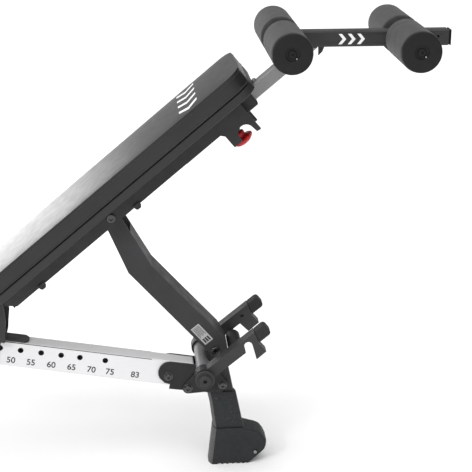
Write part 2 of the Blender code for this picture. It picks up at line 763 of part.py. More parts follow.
def make_roller_cap(name, centre, side):
    depth = CAP_SPAN[1] - CAP_SPAN[0]
    profile = [
        (0.0, 0.0480),
        (depth - 0.0015, 0.0480),
        (depth, 0.0465),
        (depth, 0.0185),
        (depth - 0.0030, 0.0180),
        (depth - 0.0030, 0.0120),
        (depth - 0.0010, 0.0110),
        (depth - 0.0010, 0.0060),
    ]
    start = (centre[0], side * CAP_SPAN[0], centre[1])
    return turned("end_cap_" + name, start, (0, side, 0), profile, black_plastic())


# Carriage and seat

def make_carriage():
    outer = rectangle(rail, CARRIAGE_SPAN, (-RAIL_HEIGHT - 0.0108, CARRIAGE_LIFT + 0.005))
    item = soften(prism("carriage_sleeve", outer, (-0.031, 0.031), powder_coat()), 0.003)
    long_span = (CARRIAGE_SPAN[0] - 0.01, CARRIAGE_SPAN[1] + 0.01)
    inside = rectangle(rail, long_span, (-RAIL_HEIGHT - 0.0050, CARRIAGE_LIFT))
    cut(item, prism("carriage_core", inside, (-RAIL_HALF - 0.0008, RAIL_HALF + 0.0008), None, helper=True))
    tongue_plan = [(-0.290, -0.0240), (-0.222, -0.0240), (-0.212, -0.0120), (-0.212, 0.0120)]
    tongue_plan += [(-0.222, 0.0240), (-0.290, 0.0240)]
    tongue = slab("carriage_tongue", rail, tongue_plan, (CARRIAGE_LIFT + 0.0002, CARRIAGE_LIFT + 0.0036),
                  None, helper=True)
    join(item, tongue)
    barrel_place = rail(*POP_PIN)
    boss = rod("pop_pin_boss", barrel_place, 0.0120, (-0.0500, -0.0290), None, helper=True)
    join(item, boss)
    cut(item, rod("pop_pin_bore", barrel_place, 0.0053, (-0.0600, -0.0240), None, helper=True))
    make_saddle()
    profile = [
        (0.0, 0.0050),
        (0.0250, 0.0050),
        (0.0250, 0.0150),
        (0.0290, 0.0190),
        (0.0420, 0.0190),
        (0.0460, 0.0150),
    ]
    start = (barrel_place[0], -RAIL_HALF - 0.0005, barrel_place[1])
    turned("pop_pin", start, (0, -1, 0), profile, black_plastic())


def make_saddle():
    base = CARRIAGE_LIFT + 0.005 + GAP
    hinge = along_rail(BEAM_HINGE)
    seat_place = along_rail(seat(*SEAT_HINGE))
    right = [(-0.4500, base), (-0.2720, base), (-0.2740, 0.0300), (-0.2755, 0.0625)]
    lobe = arc(hinge, 0.0200, -10, 150, 8)
    valley = [(-0.3600, 0.0700)]
    seat_lobe = arc(seat_place, 0.0160, 30, 190, 8)
    outline = in_frame(rail, right + lobe + valley + seat_lobe)
    item = prism("carriage_saddle", outline, (-CHEEK_SPAN[1], CHEEK_SPAN[1]), powder_coat())
    room = rectangle(rail, (-0.48, -0.24), (base + 0.005, 0.20))
    cut(item, prism("saddle_core", room, (-CHEEK_SPAN[0], CHEEK_SPAN[0]), None, helper=True))
    cut(item, bore("saddle_hinge_bore", BEAM_HINGE, 0.0063))
    cut(item, bore("saddle_seat_bore", seat(*SEAT_HINGE), 0.0063))


def make_seat():
    item = box_tube("seat_tube", seat, (0.014, 0.260), (-0.1010, -0.0610), 0.020, 0.003, powder_coat())
    through = rod("seat_hub", seat(*SEAT_HINGE), 0.0130, (-0.0490, 0.0490), None, helper=True)
    join(item, through)
    cut(item, bore("seat_hinge_bore", seat(*SEAT_HINGE), 0.0063))
    through_bolt("seat_pivot_bolt", seat(*SEAT_HINGE), CHEEK_SPAN[1] + GAP, 0.0060, 0.0120, zinc(), 0.005)
    plan = rounded_plan((0.004, 0.316), 0.132, 0.060, 0.020)
    soften(slab("seat_shell", seat, plan, (-0.0607, -0.0453), black_plastic()), 0.003)
    plan = rounded_plan((0.0, 0.320), 0.135, 0.062, 0.020)
    soften(slab("seat_pad", seat, plan, (-0.0450, 0.0), vinyl()), 0.010)


# Assembly

def pivot(name, place, y=0.0):
    """An empty on a joint's axis."""
    item = bpy.data.objects.new(name, None)
    item.location = (place[0], y, place[1])
    bpy.context.scene.collection.objects.link(item)
    return item


def hang(parent, names):
    bpy.context.view_layer.update()
    for name in names:
        item = bpy.data.objects[name]
        item.parent = parent
        item.matrix_parent_inverse = Matrix.Translation(parent.matrix_world.translation).inverted()


def set_joints(rollers):
    strut_axis = pivot("axis_strut", STRUT_PIVOT)
    hang(strut_axis, ["strut", "beam_pivot_bolt"])
    beam_axis = pivot("axis_backrest", BEAM_PIVOT)
    hang(beam_axis, ["beam_channel", "beam_end_plate", "carriage_pivot_bolt", "extension_sleeve",
                     "pull_pin_barrel", "pad_base_shell", "back_pad"])
    hang(pivot("axis_pull_pin", beam(PULL_PIN_PLACE, -0.1)), ["red_pull_knob"])
    hang(pivot("axis_extension", beam(SLEEVE_SPAN[1], TUBE_AXIS)),
         ["extension_tube", "roller_bar", "bar_end_cap", "roller_tube_1", "roller_tube_2"])
    for name, (centre, pieces) in rollers.items():
        hang(pivot("axis_" + name, centre), [piece.name for piece in pieces])
    hang(pivot("axis_carriage", BEAM_HINGE), ["carriage_sleeve", "carriage_saddle", "seat_pivot_bolt"])
    hang(pivot("axis_pop_pin", rail(*POP_PIN), -RAIL_HALF), ["pop_pin"])
    hang(pivot("axis_seat", seat(*SEAT_HINGE)), ["seat_tube", "seat_shell", "seat_pad"])
    hang(pivot("axis_fork", HUB), ["fork_arm_near", "fork_arm_far", "fork_bumper_near", "fork_bumper_far",
                                   "fork_cross_roller"])
    for label, _ in SIDES:
        hang(pivot("axis_wheel_" + label, WHEEL_CENTRE), ["transport_wheel_" + label])


def main():
    clear_scene()
    make_rail()
    make_side_plates()
    make_front_leg()
    make_foot()
    make_hub()
    make_frame_bolts()
    make_rear_stand()
    make_fork()
    make_strut()
    make_beam()
    make_extension_sleeve()
    make_pull_pin()
    make_back_pad()
    bar = make_roller_frame()
    rollers = make_rollers(bar)
    make_carriage()
    make_seat()
    set_joints(rollers)


main()
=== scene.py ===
import json
from math import acos, atan2, cos, exp, hypot, pi, radians, sin, sqrt

import bmesh
import bpy
from mathutils import Matrix, Vector
from mathutils.bvhtree import BVHTree


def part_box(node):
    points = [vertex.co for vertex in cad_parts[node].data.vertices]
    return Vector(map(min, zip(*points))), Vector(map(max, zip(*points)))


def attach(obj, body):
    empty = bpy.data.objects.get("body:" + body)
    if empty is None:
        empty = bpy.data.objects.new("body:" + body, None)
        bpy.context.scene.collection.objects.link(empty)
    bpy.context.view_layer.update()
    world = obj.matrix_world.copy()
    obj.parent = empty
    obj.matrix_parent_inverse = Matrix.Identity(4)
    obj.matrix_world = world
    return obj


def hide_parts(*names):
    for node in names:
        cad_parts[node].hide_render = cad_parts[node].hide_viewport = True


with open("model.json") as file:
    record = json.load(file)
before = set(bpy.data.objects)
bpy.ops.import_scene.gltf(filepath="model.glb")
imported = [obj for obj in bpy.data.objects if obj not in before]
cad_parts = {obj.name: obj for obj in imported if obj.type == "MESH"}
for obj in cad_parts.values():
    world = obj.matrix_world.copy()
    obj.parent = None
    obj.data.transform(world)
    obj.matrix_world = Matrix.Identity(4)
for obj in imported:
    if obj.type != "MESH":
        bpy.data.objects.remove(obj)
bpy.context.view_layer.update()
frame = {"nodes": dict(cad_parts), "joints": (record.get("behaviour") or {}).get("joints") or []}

# Places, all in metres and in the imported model's frame
JOINTS = {joint["name"]: joint for joint in frame["joints"]}
ACROSS = Vector((0, 1, 0))
HINGE = Vector(JOINTS["carriage_hinge"]["pos_m"])
ALONG = Vector(JOINTS["extension_slide"]["axis"])
OUTWARD = -Vector(JOINTS["pull_pin_slide"]["axis"])
RAIL_SLOPE = radians(9.5)
RAIL_ALONG = Vector((cos(RAIL_SLOPE), 0, -sin(RAIL_SLOPE)))
RAIL_UP = Vector((sin(RAIL_SLOPE), 0, cos(RAIL_SLOPE)))
RAIL_TOP = Vector((0, 0, 0.3356))
RAIL_HALF = 0.025
HOLE_DEPTH = 0.021        # hole centres below the rail's top face
HOLE_ORIGIN = 0.1525      # a hole's place plus the distance between the linkage's ends, along the rail
PAD_ANGLES = (0, 10, 20, 30, 40, 45, 50, 55, 60, 65, 70, 75, 83)
REST_ANGLE = 40
PAD_SPAN, PAD_HALF = (0.025, 0.865), 0.1358
PAD_LAYERS = (0.0218, 0.0652)
TRAY_SPAN, TRAY_HALF = (0.0215, 0.8655), 0.134
SEAT_SPAN, SEAT_HALF = (0.0, 0.320), 0.135
SEAT_LAYERS = (-0.0450, -0.0020)
DRUM_HALF = 0.056         # half the length of the roller between the fork's arms
SEAT_CORNER = Vector((-0.345, 0, 0.553))
SEAT_TURN = radians(12)
SEAT_ALONG = Vector((-cos(SEAT_TURN), 0, sin(SEAT_TURN)))
SEAT_UP = Vector((sin(SEAT_TURN), 0, cos(SEAT_TURN)))

NEAR, FAR = -1, 1
SIDES = (("near", NEAR), ("far", FAR))


def beam_point(along, out, across=0.0):
    return HINGE + ALONG * along + OUTWARD * out + ACROSS * across


def rail_point(along, up, across=0.0):
    return RAIL_TOP + RAIL_ALONG * along + RAIL_UP * up + ACROSS * across


def seat_point(along, up, across=0.0):
    return SEAT_CORNER + SEAT_ALONG * along + SEAT_UP * up + ACROSS * across


def joint_place(name):
    return Vector(JOINTS[name]["pos_m"])


# Materials

class Look:
    """A procedural material whose patterns are laid out in metres on the object itself."""

    def __init__(self, name, roughness, metallic=0.0, specular=0.5):
        self.material = bpy.data.materials.new(name)
        self.material.use_nodes = True
        self.nodes = self.material.node_tree.nodes
        self.links = self.material.node_tree.links
        self.shader = self.nodes["Principled BSDF"]
        self.set("Roughness", roughness)
        self.set("Metallic", metallic)
        self.set("Specular IOR Level", specular)
        self.place = self.nodes.new("ShaderNodeTexCoord").outputs["Object"]
        self.normal = None

    def set(self, name, value):
        self.shader.inputs[name].default_value = value

    def drive(self, name, output):
        self.links.new(output, self.shader.inputs[name])

    def mapped(self, stretch, turn):
        node = self.nodes.new("ShaderNodeMapping")
        node.inputs["Scale"].default_value = stretch
        node.inputs["Rotation"].default_value = (0, turn, 0)
        self.links.new(self.place, node.inputs["Vector"])
        return node.outputs["Vector"]

    def noise(self, scale, detail=3.0, stretch=(1, 1, 1), turn=0.0, roughness=0.5):
        node = self.nodes.new("ShaderNodeTexNoise")
        node.inputs["Scale"].default_value = scale
        node.inputs["Detail"].default_value = detail
        node.inputs["Roughness"].default_value = roughness
        self.links.new(self.mapped(stretch, turn), node.inputs["Vector"])
        return node.outputs["Fac"]

    def cells(self, scale, feature="F1", stretch=(1, 1, 1)):
        node = self.nodes.new("ShaderNodeTexVoronoi")
        node.feature = feature
        node.inputs["Scale"].default_value = scale
        self.links.new(self.mapped(stretch, 0.0), node.inputs["Vector"])
        return node.outputs["Distance"]

    def between(self, factor, low, high, start=0.3, end=0.7):
        node = self.nodes.new("ShaderNodeMapRange")
        node.inputs["From Min"].default_value = start
        node.inputs["From Max"].default_value = end
        node.inputs["To Min"].default_value = low
        node.inputs["To Max"].default_value = high
        self.links.new(factor, node.inputs["Value"])
        return node.outputs["Result"]

    def mixed(self, factor, first, second):
        node = self.nodes.new("ShaderNodeMix")
        node.data_type = "RGBA"
        self.links.new(factor, node.inputs[0])
        for socket, value in ((node.inputs[6], first), (node.inputs[7], second)):
            if hasattr(value, "links"):
                self.links.new(value, socket)
            else:
                socket.default_value = (*value, 1.0)
        return node.outputs[2]

    def bump(self, height, strength, distance):
        node = self.nodes.new("ShaderNodeBump")
        node.inputs["Strength"].default_value = strength
        node.inputs["Distance"].default_value = distance
        self.links.new(height, node.inputs["Height"])
        if self.normal:
            self.links.new(self.normal, node.inputs["Normal"])
        self.normal = node.outputs["Normal"]
        self.links.new(self.normal, self.shader.inputs["Normal"])

    def worn_edges(self, radius, colour, base, amount=0.8):
        """Painted highlight along edges, in patches: lighter where the rounded normal leaves the true one."""
        rounded = self.nodes.new("ShaderNodeBevel")
        rounded.samples = 4
        rounded.inputs["Radius"].default_value = radius
        true = self.nodes.new("ShaderNodeNewGeometry")
        dot = self.nodes.new("ShaderNodeVectorMath")
        dot.operation = "DOT_PRODUCT"
        self.links.new(rounded.outputs["Normal"], dot.inputs[0])
        self.links.new(true.outputs["Normal"], dot.inputs[1])
        edge = self.between(dot.outputs["Value"], amount, 0.0, 0.80, 0.995)
        patchy = self.between(self.noise(60, 4), 0.35, 1.0)
        product = self.nodes.new("ShaderNodeMath")
        product.operation = "MULTIPLY"
        self.links.new(edge, product.inputs[0])
        self.links.new(patchy, product.inputs[1])
        return self.mixed(product.outputs["Value"], base, colour)


def powder_coat(name, tone_low, tone_high, edge_highlight_tone):
    look = Look(name, 0.55, specular=0.30)
    tone = look.mixed(look.between(look.noise(9, 4), 0, 1), tone_low, tone_high)
    # the edge colour is a painted highlight along the rounded edges
    look.drive("Base Color", look.worn_edges(0.0016, edge_highlight_tone, tone, 0.55))
    look.drive("Roughness", look.between(look.noise(40, 3), 0.48, 0.64))
    look.bump(look.noise(1400, 2), 0.22, 0.0004)
    look.bump(look.noise(230, 3), 0.10, 0.0006)
    return look.material


def zinc():
    look = Look("zinc_plate", 0.3, metallic=1.0)
    tone = look.mixed(look.noise(80, 3), (0.30, 0.30, 0.31), (0.46, 0.46, 0.47))
    look.drive("Base Color", tone)
    look.drive("Roughness", look.between(look.noise(300, 3), 0.22, 0.42))
    look.bump(look.noise(900, 2), 0.10, 0.0002)
    return look.material


def black_oxide():
    look = Look("black_oxide", 0.32)
    tone = look.mixed(look.noise(120, 3), (0.004, 0.004, 0.005), (0.011, 0.011, 0.012))
    # the pale edge colour is a painted highlight on the bolts' rims
    look.drive("Base Color", look.worn_edges(0.0005, (0.42, 0.42, 0.43), tone, 0.6))
    look.drive("Roughness", look.between(look.noise(260, 3), 0.18, 0.34))
    look.set("Coat Weight", 0.7)
    look.set("Coat Roughness", 0.10)
    look.bump(look.noise(800, 2), 0.10, 0.0002)
    return look.material


def black_plastic(name, low, high):
    look = Look(name, 0.52, specular=0.30)
    look.drive("Base Color", look.mixed(look.noise(14, 3), low, high))
    look.drive("Roughness", look.between(look.noise(60, 3), 0.46, 0.64))
    look.bump(look.cells(1500), 0.12, 0.0003)
    return look.material


def tray_plastic():
    look = Look("tray_plastic", 0.46, specular=0.42)
    tone = look.noise(900, 3)
    look.drive("Base Color", look.mixed(tone, (0.0135, 0.0136, 0.0142), (0.0195, 0.0197, 0.0205)))
    look.bump(look.noise(1600, 2), 0.10, 0.0002)
    return look.material


def foot_plastic(name, speck):
    look = Look(name, 0.58, specular=0.30)
    tone = look.mixed(look.noise(22, 4), (0.0140, 0.0153, 0.0162), (0.0205, 0.0220, 0.0235))
    specks = look.between(look.noise(190, 5, roughness=0.7), 0.0, speck, 0.54, 0.70)
    look.drive("Base Color", look.mixed(specks, tone, (0.060, 0.062, 0.064)))
    look.drive("Roughness", look.between(look.noise(90, 4), 0.50, 0.70))
    look.bump(look.cells(900), 0.16, 0.0004)
    look.bump(look.noise(120, 3), 0.12, 0.0006)
    return look.material


def rubbed_plastic():
    """The foot's narrow front strip, rougher than the rest and painted paler, as a face lit from the left."""
    look = Look("rubbed_plastic", 0.60, specular=0.35)
    look.drive("Base Color", look.mixed(look.noise(150, 4), (0.048, 0.049, 0.050), (0.115, 0.116, 0.118)))
    look.bump(look.noise(400, 4), 0.25, 0.0006)
    return look.material


def rubber():
    look = Look("rubber", 0.72, specular=0.3)
    tone = look.mixed(look.noise(30, 4), (0.0170, 0.0170, 0.0175), (0.0260, 0.0260, 0.0270))
    look.drive("Base Color", tone)
    look.bump(look.noise(700, 3), 0.18, 0.0004)
    return look.material


def rail_steel():
    look = Look("satin_rail", 0.36, specular=0.5)
    lines = look.noise(520, 3, stretch=(0.04, 1, 1), turn=-RAIL_SLOPE)
    look.drive("Base Color", look.mixed(lines, (0.68, 0.682, 0.690), (0.76, 0.762, 0.768)))
    look.drive("Roughness", look.between(lines, 0.28, 0.44))
    look.bump(lines, 0.08, 0.0002)
    return look.material


def tube_steel():
    turn = atan2(ALONG.z, ALONG.x)
    look = Look("satin_tube", 0.46, metallic=0.35)
    lines = look.noise(600, 3, stretch=(0.04, 1, 1), turn=turn)
    look.drive("Base Color", look.mixed(lines, (0.200, 0.200, 0.203), (0.250, 0.250, 0.254)))
    look.drive("Roughness", look.between(lines, 0.38, 0.56))
    look.bump(lines, 0.10, 0.0002)
    return look.material


def foam():
    look = Look("closed_cell_foam", 0.88, specular=0.25)
    patches = look.between(look.noise(38, 5), 0, 1)
    tone = look.mixed(patches, (0.0400, 0.0403, 0.0410), (0.0600, 0.0604, 0.0615))
    pores = look.between(look.cells(620), 1.0, 0.0, 0.05, 0.35)
    look.drive("Base Color", look.mixed(pores, tone, (0.030, 0.030, 0.031)))
    look.set("Sheen Weight", 0.10)
    look.set("Sheen Roughness", 0.5)
    look.bump(look.cells(620), 0.35, 0.0006)
    look.bump(look.noise(60, 4), 0.25, 0.0015)
    return look.material


def vinyl(name, low, high):
    look = Look(name, 0.36, specular=0.36)
    look.drive("Base Color", look.mixed(look.between(look.noise(11, 4), 0, 1), low, high))
    grain = look.cells(650, "SMOOTH_F1")
    look.drive("Roughness", look.between(look.noise(45, 4), 0.33, 0.39))
    look.bump(grain, 0.035, 0.0002)
    look.set("Coat Weight", 0.05)
    look.set("Coat Roughness", 0.28)
    return look.material


def thread():
    look = Look("thread", 0.7)
    look.drive("Base Color", look.mixed(look.noise(500, 2), (0.05, 0.05, 0.052), (0.09, 0.09, 0.093)))
    look.bump(look.noise(1500, 2), 0.3, 0.0003)
    return look.material


def red_gloss():
    look = Look("red_gloss", 0.30, specular=0.35)
    look.drive("Base Color", look.mixed(look.noise(60, 3), (0.36, 0.003, 0.008), (0.52, 0.006, 0.012)))
    look.drive("Roughness", look.between(look.noise(150, 3), 0.24, 0.40))
    look.set("Coat Weight", 0.15)
    look.set("Coat Roughness", 0.2)
    return look.material


def ink(name, low, high):
    look = Look(name, 0.5)
    look.drive("Base Color", look.mixed(look.noise(300, 3), low, high))
    look.bump(look.noise(900, 2), 0.08, 0.0002)
    return look.material


def hub_grey():
    look = Look("satin_hub", 0.46, metallic=0.2, specular=0.35)
    look.drive("Base Color", look.mixed(look.noise(70, 3), (0.165, 0.165, 0.169), (0.225, 0.225, 0.229)))
    look.drive("Roughness", look.between(look.noise(300, 3), 0.40, 0.56))
    look.bump(look.noise(900, 2), 0.12, 0.0003)
    return look.material


# the last colour of each coat is its painted edge highlight
COAT = powder_coat("powder_coat", (0.0265, 0.0266, 0.0277), (0.0345, 0.0347, 0.0362),
                   (0.085, 0.086, 0.090))
DARK_COAT = powder_coat("dark_coat", (0.0120, 0.0121, 0.0127), (0.0170, 0.0172, 0.0180),
                        (0.220, 0.222, 0.226))
ZINC = zinc()
OXIDE = black_oxide()
PLASTIC = black_plastic("black_plastic", (0.0085, 0.0086, 0.0090), (0.0130, 0.0132, 0.0138))
CAP = black_plastic("cap_plastic", (0.0035, 0.0035, 0.0037), (0.0060, 0.0060, 0.0063))
FOOT = foot_plastic("foot_plastic", 0.12)
SLEEVE = foot_plastic("sleeve_plastic", 0.8)
# painted light on the foot's left-facing strip
FOOT_LIT_STRIP = rubbed_plastic()
RUBBER = rubber()
RAIL = rail_steel()
TUBE = tube_steel()
FOAM = foam()
TRAY = tray_plastic()
VINYL = vinyl("vinyl", (0.0112, 0.0114, 0.0119), (0.0160, 0.0162, 0.0168))
THREAD = thread()
RED = red_gloss()
HUB_GREY = hub_grey()
PLATE_GROUND = ink("plate_ground", (0.36, 0.36, 0.36), (0.46, 0.46, 0.46))
# black print, also used as painted shade along the rail's upper corners
BLACK_PRINT_AND_SHADE = ink("black_print_and_shade", (0.014, 0.014, 0.015), (0.024, 0.024, 0.025))
WHITE_INK = ink("white_print", (0.78, 0.78, 0.78), (0.88, 0.88, 0.88))


# Shapes

def shown(name, bm, look, body, smooth=35):
    bmesh.ops.recalc_face_normals(bm, faces=bm.faces)
    mesh = bpy.data.meshes.new(name)
    bm.to_mesh(mesh)
    bm.free()
    piece = bpy.data.objects.new(name, mesh)
    bpy.context.scene.collection.objects.link(piece)
    mesh.materials.append(look)
    mesh.shade_smooth()
    mesh.set_sharp_from_angle(angle=radians(smooth))
    if body:
        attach(piece, body)
    return piece


def loft(bm, rings, closed=False, caps=True):
    layers = [[bm.verts.new(point) for point in ring] for ring in rings]
    count = len(layers[0])
    pairs = list(zip(layers, layers[1:]))
    if closed:
        pairs.append((layers[-1], layers[0]))
    for low, high in pairs:
        for i in range(count):
            j = (i + 1) % count
            bm.faces.new((low[i], low[j], high[j], high[i]))
    if caps and not closed:
        bm.faces.new(layers[0])
        bm.faces.new(layers[-1])
    return layers


def turn_to(axis):
    return Vector((0, 0, 1)).rotation_difference(Vector(axis).normalized()).to_matrix()


def lathe_rings(origin, axis, profile, sides, shape=None):
    """Rings about an axis. shape gives a factor on the radius for a ring's number and an angle."""
    turn = turn_to(axis)
    rings = []
    for number, (distance, radius) in enumerate(profile):
        ring = []
        for i in range(sides):
            angle = 2 * pi * i / sides
            reach = radius * (shape(number, angle) if shape else 1.0)
            local = Vector((reach * cos(angle), reach * sin(angle), distance))
            ring.append(Vector(origin) + turn @ local)
        rings.append(ring)
    return rings


def lathe(name, origin, axis, profile, look, body, sides=64, closed=False, shape=None, smooth=35):
    bm = bmesh.new()
    loft(bm, lathe_rings(origin, axis, profile, sides, shape), closed)
    return shown(name, bm, look, body, smooth)


def hexagon(angle):
    """How far a hexagon's side is from its centre at an angle, with its flats at distance 1."""
    return 1.0 / cos((angle + pi / 6) % (pi / 3) - pi / 6)


def socket_profile(head, height, key):
    """A domed head from its seat upward, then down into a hexagonal key hole."""
    rim = 0.0006
    return [
        (0.0, head),
        (height * 0.55, head),
        (height * 0.80, head * 0.955),
        (height * 0.95, head * 0.86),
        (height, head * 0.74),
        (height, key + rim),
        (height - rim, key),
        (height * 0.25, key),
    ]


def bolt_head(bm, centre, axis, head, height, key):
    profile = socket_profile(head, height, key)
    round_rings = len(profile) - 2

    def shape(number, angle):
        return 1.0 if number < round_rings else hexagon(angle)

    loft(bm, lathe_rings(centre, axis, profile, 48, shape))


def through_bolt(name, node, body, washer=0.0, look=None, key=0.0042):
    """Replaces a bolt right across the bench by one with washers and key holes in its heads."""
    low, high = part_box(node)
    centre = (low + high) / 2
    head = (high.z - low.z) / 2
    outer = high.y
    height = 0.0055
    seat = outer - height
    bm = bmesh.new()
    for _, side in SIDES:
        place = Vector((centre.x, side * seat, centre.z))
        bolt_head(bm, place, (0, side, 0), head, height, key)
        if washer:
            start = Vector((centre.x, side * (seat - 0.0012), centre.z))
            profile = [(0.0, washer), (0.0009, washer), (0.0012, washer - 0.0004)]
            loft(bm, lathe_rings(start, (0, side, 0), profile, 48))
    shank = [(-seat, 0.0050), (seat, 0.0050)]
    loft(bm, lathe_rings((centre.x, 0, centre.z), (0, 1, 0), shank, 32))
    piece = shown(name, bm, look or OXIDE, body)
    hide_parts(node)
    return piece


def arc(centre, radius, start, end, steps=8):
    angles = [radians(start + (end - start) * i / steps) for i in range(steps + 1)]
    return [(centre[0] + radius * cos(a), centre[1] + radius * sin(a)) for a in angles]


def plate(bm, place, outline, low, high):
    """A thin plate: an outline of pairs that place() turns into points, at two heights."""
    loft(bm, [[place(a, b, h) for a, b in outline] for h in (low, high)])


# CAD nodes that stay

def dress(names, look, edge=0.0):
    """Better material on a CAD node, and its hard edges rounded as bent or painted metal has them."""
    for name in names:
        node = frame["nodes"][name]
        node.data.materials.clear()
        node.data.materials.append(look)
        if not edge:
            continue
        weld = node.modifiers.new("weld", "WELD")
        weld.merge_threshold = 0.00001
        bevel = node.modifiers.new("edge", "BEVEL")
        bevel.width = edge
        bevel.segments = 3
        bevel.limit_method = "ANGLE"
        bevel.angle_limit = radians(40)
        bevel.harden_normals = True


def dress_frame():
    dress(["rail"], RAIL, 0.0008)
    dress(["side_plate_near", "side_plate_far", "hub_bracket_near", "hub_bracket_far"], DARK_COAT, 0.0009)
    dress(["front_leg", "rear_leg", "rear_stabiliser", "seat_tube", "extension_sleeve"], COAT, 0.0012)
    dress(["strut"], COAT, 0.0016)
    dress(["beam_channel", "beam_end_plate", "carriage_sleeve", "carriage_saddle"], COAT, 0.0010)
    dress(["roller_bar"], COAT, 0.0012)
    dress(["bar_end_cap"], PLASTIC, 0.0008)
    dress(["extension_tube"], TUBE, 0.0010)
    dress(["fork_arm_near", "fork_arm_far"], COAT, 0.0022)
    dress(["fork_bumper_near", "fork_bumper_far"], RUBBER, 0.0030)
    dress(["seat_shell"], PLASTIC, 0.0016)
    dress(["stabiliser_boot_near", "stabiliser_boot_far"], RUBBER, 0.0020)
    dress(["roller_tube_1", "roller_tube_2", "wheel_axle"], ZINC, 0.0006)


# Bolts, hub and rollers

def make_bolts():
    through_bolt("bolt_rail", "rail_bolt", "frame", 0.0120, OXIDE, 0.0040)
    through_bolt("bolt_bracket_rear", "bracket_bolt_rear", "frame", 0.0118, OXIDE, 0.0040)
    through_bolt("bolt_bracket_front", "bracket_bolt_front", "frame", 0.0118, OXIDE, 0.0040)
    through_bolt("bolt_strut", "strut_pivot_bolt", "frame", 0.0, OXIDE, 0.0050)
    through_bolt("bolt_beam", "beam_pivot_bolt", "strut", 0.0165, OXIDE, 0.0050)
    through_bolt("bolt_carriage", "carriage_pivot_bolt", "backrest", 0.0, OXIDE, 0.0050)
    through_bolt("bolt_seat", "seat_pivot_bolt", "carriage", 0.0, OXIDE, 0.0050)
    screw = lathe_screw("foot_side_screw", Vector((0.3898, -0.0352, 0.0345)), (0, -1, 0), 0.0046, "frame")
    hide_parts("foot_screw")


def lathe_screw(name, place, axis, head, body):
    bm = bmesh.new()
    bolt_head(bm, place, axis, head, 0.0030, head * 0.45)
    return shown(name, bm, ZINC, body)


def make_hub():
    centre = joint_place("fork_swing")
    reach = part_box("hub_tube")[1].y
    radius = (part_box("hub_tube")[1].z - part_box("hub_tube")[0].z) / 2
    profile = [(-reach, radius - 0.003), (-reach, radius - 0.0005), (-reach + 0.0005, radius)]
    profile += [(reach - 0.0005, radius), (reach, radius - 0.0005), (reach, radius - 0.003)]
    tube = lathe("hub_sleeve", centre, (0, 1, 0), profile, HUB_GREY, "frame", closed=True)
    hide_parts("hub_tube")
    for label, side in SIDES:
        start = centre + Vector((0, side * (reach + 0.0003), 0))
        bm = bmesh.new()
        edge = 0.0255 if side == NEAR else 0.0205
        flange = [(0.0, edge - 0.0005), (0.0004, edge), (0.0032, edge)]
        flange += [(0.0042, edge - 0.0010), (0.0044, 0.0100)]
        loft(bm, lathe_rings(start, (0, side, 0), flange, 64))
        bolt_head(bm, start + Vector((0, side * 0.0042, 0)), (0, side, 0), 0.0160, 0.0095, 0.0050)
        piece = shown("hub_end_" + label, bm, COAT, "frame")
        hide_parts("hub_end_bolt_" + label)
    low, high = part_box("fork_cross_roller")
    middle = (low + high) / 2
    thick = (high.z - low.z) / 2
    reach, half = high.y, DRUM_HALF
    profile = [(-reach, 0.0080), (-half, 0.0080), (-half, thick - 0.004), (-half + 0.0012, thick - 0.0014)]
    profile += [(-half + 0.004, thick), (half - 0.004, thick), (half - 0.0012, thick - 0.0014)]
    profile += [(half, thick - 0.004), (half, 0.0080), (reach, 0.0080)]
    roller = lathe("cross_roller", middle, (0, 1, 0), profile, PLASTIC, "fork")
    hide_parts("fork_cross_roller")


def make_rollers():
    for number in (1, 2):
        for label, side in SIDES:
            body = f"roller_{number}_{label}"
            centre = joint_place(body + "_spin")
            low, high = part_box("foam_" + body)
            inner, outer = sorted((abs(low.y), abs(high.y)))
            radius = (high.z - low.z) / 2
            length = outer - inner
            profile = [(0.0, 0.0129), (0.0, radius - 0.0050)]
            profile += [(0.005 - 0.005 * cos(a), radius - 0.005 + 0.005 * sin(a)) for a in (0.4, 0.8, 1.2)]
            profile += [(0.005 + (length - 0.008) * i / 24, radius) for i in range(25)]
            profile += [(length - 0.003 + 0.003 * sin(a), radius - 0.003 + 0.003 * cos(a))
                        for a in (0.5, 1.0)]
            profile += [(length, radius - 0.0030), (length, 0.0129)]
            start = Vector((centre.x, side * inner, centre.z))

            def dented(ring, angle, seed=number * 2 + side):
                wave = sin(3 * angle + ring * 0.5 + seed) + sin(5 * angle - ring * 0.9 + seed * 2)
                return 1.0 - 0.0018 * (1 + wave / 2) if 5 < ring < 28 else 1.0

            sleeve = lathe("foam_sleeve_" + body, start, (0, side, 0), profile, FOAM, body, 96,
                           closed=True, shape=dented)
            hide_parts("foam_" + body)
            make_roller_cap(body, centre, side)


def make_roller_cap(body, centre, side):
    low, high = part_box("end_cap_" + body)
    near, face = sorted((abs(low.y), abs(high.y)))
    radius = (high.z - low.z) / 2
    depth = face - near
    profile = [
        (0.0, radius - 0.0006),
        (0.0008, radius + 0.0006),
        (depth - 0.0030, radius + 0.0008),
        (depth - 0.0012, radius),
        (depth - 0.0003, radius - 0.0016),
        (depth, radius - 0.0036),
        (depth, 0.0200),
        (depth, 0.0186),
        (depth - 0.0008, 0.0176),
        (0.0016, 0.0172),
        (0.0010, 0.0160),
        (0.0010, 0.0096),
        (0.0018, 0.0090),
        (0.0040, 0.0086),
        (0.0046, 0.0074),
        (0.0046, 0.0040),
        (0.0020, 0.0036),
    ]
    start = Vector((centre.x, side * near, centre.z))
    cap = lathe("cap_" + body, start, (0, side, 0), profile, CAP, body, 96)
    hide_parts("end_cap_" + body)
    angle = radians(-48)
    spot = Vector((0.0148 * cos(angle), side * (depth - 0.0040), 0.0148 * sin(angle)))
    screw = [(0.0, 0.0021), (0.0022, 0.0021), (0.0030, 0.0014)]
    lathe("cap_screw_" + body, start + spot, (0, side, 0), screw, ZINC, body, 24)


